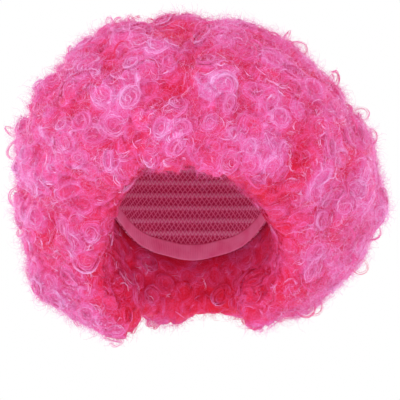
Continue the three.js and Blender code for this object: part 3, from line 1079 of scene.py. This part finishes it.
def add_curls(places, cluster_shading, surface, material):
    kind = CURL_STRANDS
    lines, normals, lift = joined(curl_lines(places, surface))
    # Painted highlights: a share of the curls painted pale, more of them on the left
    lit = np.clip(1 - places.points[:, 0] / CURL_GLINT_REACH, *CURL_GLINT_SIDES)
    glinting = RNG.random(len(cluster_shading)) < CURL_GLINT_SHARE * lit
    # Painted cluster light and shade, with random tone
    own = kind.tone + cluster_shading + RNG.normal(0, CURL_TONE_SPREAD, len(cluster_shading)) + CURL_GLINT_TONE * glinting
    own = np.repeat(own, kind.count) + RNG.normal(0, kind.spread, len(lines))
    section = np.repeat(places.section, kind.count)
    # Painted light: the curls that lie highest are painted paler
    tones = own[:, None] + LIFT_PAINTED_LIGHT * lift / CURL_LIFT[1]
    taper = CURL_TIP_WIDTH + (1 - CURL_TIP_WIDTH) * np.sin(math.pi * np.linspace(0, 1, kind.points))
    widths = CURL_WIDTH * RNG.uniform(*kind.widths, len(lines))[:, None] * taper
    well = lies_well(lines, CURL_STEP)
    columns = [column[well] for column in (lines, widths, tones, normals)]
    add_sections("curls", section[well], columns, material)


def add_flyaways(places, cluster_shading, material):
    lines = flyaway_lines(places)
    share = np.linspace(0, 1, FLYAWAY_POINTS)
    widths = FLYAWAY_WIDTH * RNG.uniform(*FLYAWAY_WIDTHS, len(lines))[:, None] * (1 - FLYAWAY_TAPER * share)
    # Painted cluster light and shade in the flyaways' tones
    own = RNG.normal(FLYAWAY_TONE, FLYAWAY_TONE_SPREAD, len(lines)) + cluster_shading
    tones = own[:, None] + FLYAWAY_TIP_TONE * share
    facing = np.broadcast_to(unit(RNG.normal(0, 1, (len(lines), 1, 3))), lines.shape)
    add_sections("flyaways", places.section, (lines, widths, tones, facing), material)


def hair_triangles():
    """The triangles of the hair and its low locks, and the number of the section that each is in."""
    parts = [node_triangles(name) for name in HAIR_NODES]
    for lock in LOW_LOCKS:
        number = HAIR_NODES.index(lock.section)
        parts[number] = np.concatenate((parts[number], lock_triangles(lock)))
    return np.concatenate(parts), np.repeat(np.arange(len(parts)), [len(part) for part in parts])


def add_hair():
    triangles, owner = hair_triangles()
    cap = np.concatenate((node_triangles("cap"), node_triangles("edge_band")))
    tree = tree_of(np.concatenate((triangles, cap)))

    def spread(count):
        return spread_places(triangles, owner, tree, count)

    def spread_outside(count, tries):
        places = spread(tries)
        places = taken(taken(places, outside(places)), slice(count))
        points, normals, _ = laid(surface, places.points)
        return places._replace(points=points, normals=normals)

    places = thinned(spread(RINGLET_TRIES), RINGLET_SPACING)
    samples = places.points[outside(places)]
    # Painted cluster light and shade goes into the tones of the ringlets, curls, loops and flyaways
    ringlets = make_ringlets(places, painted_cluster_light(places.points, samples))
    surface = add_core(triangles, tree_of(cap), ringlets, samples, core_material())

    material = strand_material()
    pieces = add_bundles("ringlets", RINGLET_STRANDS, ring_lines, ringlets, surface, material)
    for node, piece in zip(HAIR_NODES, pieces):
        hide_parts(node)
    coils = taken(ringlets, RNG.random(len(ringlets.point)) < COIL_SHARE * (COIL_FUZZ - ringlets.fuzz))
    add_bundles("coils", COIL_STRANDS, coil_lines, coils, surface, material)
    places = taken(spread(2 * CURL_COUNT), slice(CURL_COUNT))
    add_curls(places, painted_cluster_light(places.points, samples), surface, material)
    places = spread_outside(LOOP_COUNT, 4 * LOOP_COUNT)
    standing = standing_loops(places, painted_cluster_light(places.points, samples))
    loops = Loops(*(np.concatenate(columns) for columns in zip(standing, HANGING_LOOPS)))
    add_bundles("loops", LOOP_STRANDS, loop_lines, loops, surface, material)
    places = spread_outside(FLYAWAY_COUNT, 2 * FLYAWAY_COUNT)
    add_flyaways(places, painted_cluster_light(places.points, samples), material)


def add_cap():
    cap = add_skin("cap_net", cap_rings(), looped=False)
    cap.data.materials.append(cap_material())
    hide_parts("cap")
    band = add_skin("band_elastic", band_rings(), looped=True)
    band.data.materials.append(band_material())
    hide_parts("edge_band")


def add_stage():
    turn = np.arange(FLOOR_SIDES) * math.tau / FLOOR_SIDES
    x = FLOOR_RADIUS * np.cos(turn)
    y = FLOOR_RADIUS * np.sin(turn)
    places = np.stack((x, y, np.full(FLOOR_SIDES, FLOOR_HEIGHT)), axis=1)
    mesh = bpy.data.meshes.new("floor")
    mesh.from_pydata(places.tolist(), [], [list(range(FLOOR_SIDES))])
    mesh.materials.append(floor_material())
    floor = add_object("floor", mesh)


def add_light():
    scene = bpy.context.scene
    world = bpy.data.worlds.new("studio")
    world.use_nodes = True
    background = world.node_tree.nodes["Background"]
    background.inputs["Color"].default_value = (1.0, 1.0, 1.0, 1.0)
    background.inputs["Strength"].default_value = 1.0
    scene.world = world
    for name, place, size, power in LIGHTS:
        light = bpy.data.lights.new(name, "AREA")
        light.size = size
        light.energy = power
        lamp = add_object(name, light)
        lamp.location = place
        lamp.rotation_euler = (Vector(FRAME_MIDDLE) - Vector(place)).to_track_quat("-Z", "Y").to_euler()
    scene.view_settings.view_transform = "Standard"
    scene.cycles.diffuse_bounces = 16
    scene.cycles.max_bounces = 20


def add_camera():
    camera = bpy.data.cameras.new("camera")
    camera.sensor_width = SENSOR_WIDTH
    camera.lens = SENSOR_WIDTH * CAMERA_DISTANCE / FRAME_WIDTH
    eye = add_object("camera", camera)
    x, y, z = FRAME_MIDDLE
    eye.location = (x, y - CAMERA_DISTANCE, z)
    eye.rotation_euler = (math.radians(90), 0, 0)
    bpy.context.scene.camera = eye


add_camera()
add_light()
add_stage()
add_hair()
add_cap()
